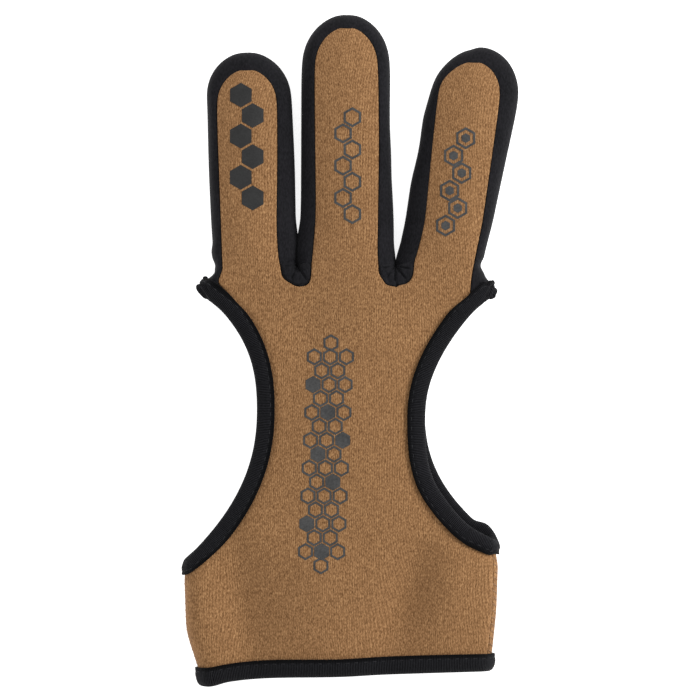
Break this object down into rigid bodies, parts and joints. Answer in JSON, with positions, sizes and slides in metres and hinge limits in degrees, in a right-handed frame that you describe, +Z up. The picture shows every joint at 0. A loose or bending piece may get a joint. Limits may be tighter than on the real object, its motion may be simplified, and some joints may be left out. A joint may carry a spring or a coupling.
{
  "type": "archery glove",
  "caption": "Soft right-hand archery glove with closed finger stalls, a narrow hand between a thumb and a little-finger opening, and a wide pull-on cuff, lying flat.",
  "frame": {"origin": "middle of the footprint, on the surface the glove lies on", "axes": "+X from the thumb's side to the little finger's side, +Y from the cuff towards the fingertips, +Z up, out of the back of the hand"},
  "size_m": [0.1126, 0.2256, 0.0174],
  "materials": {
    "tan_neoprene": "matte, fine jersey face over soft foam rubber",
    "black_stretch_fabric": "smooth stretch knit with a faint sheen",
    "black_binding_tape": "matte, finely ribbed"
  },
  "bodies": {
    "root": {"back_panel": "tan_neoprene", "palm_panel": "tan_neoprene", "index_side_wall": "black_stretch_fabric", "middle_side_wall": "black_stretch_fabric", "ring_side_wall": "black_stretch_fabric", "thumb_opening_tape": "black_binding_tape", "little_finger_opening_tape": "black_binding_tape", "hem_tape": "black_binding_tape"}
  },
  "joints": []
}
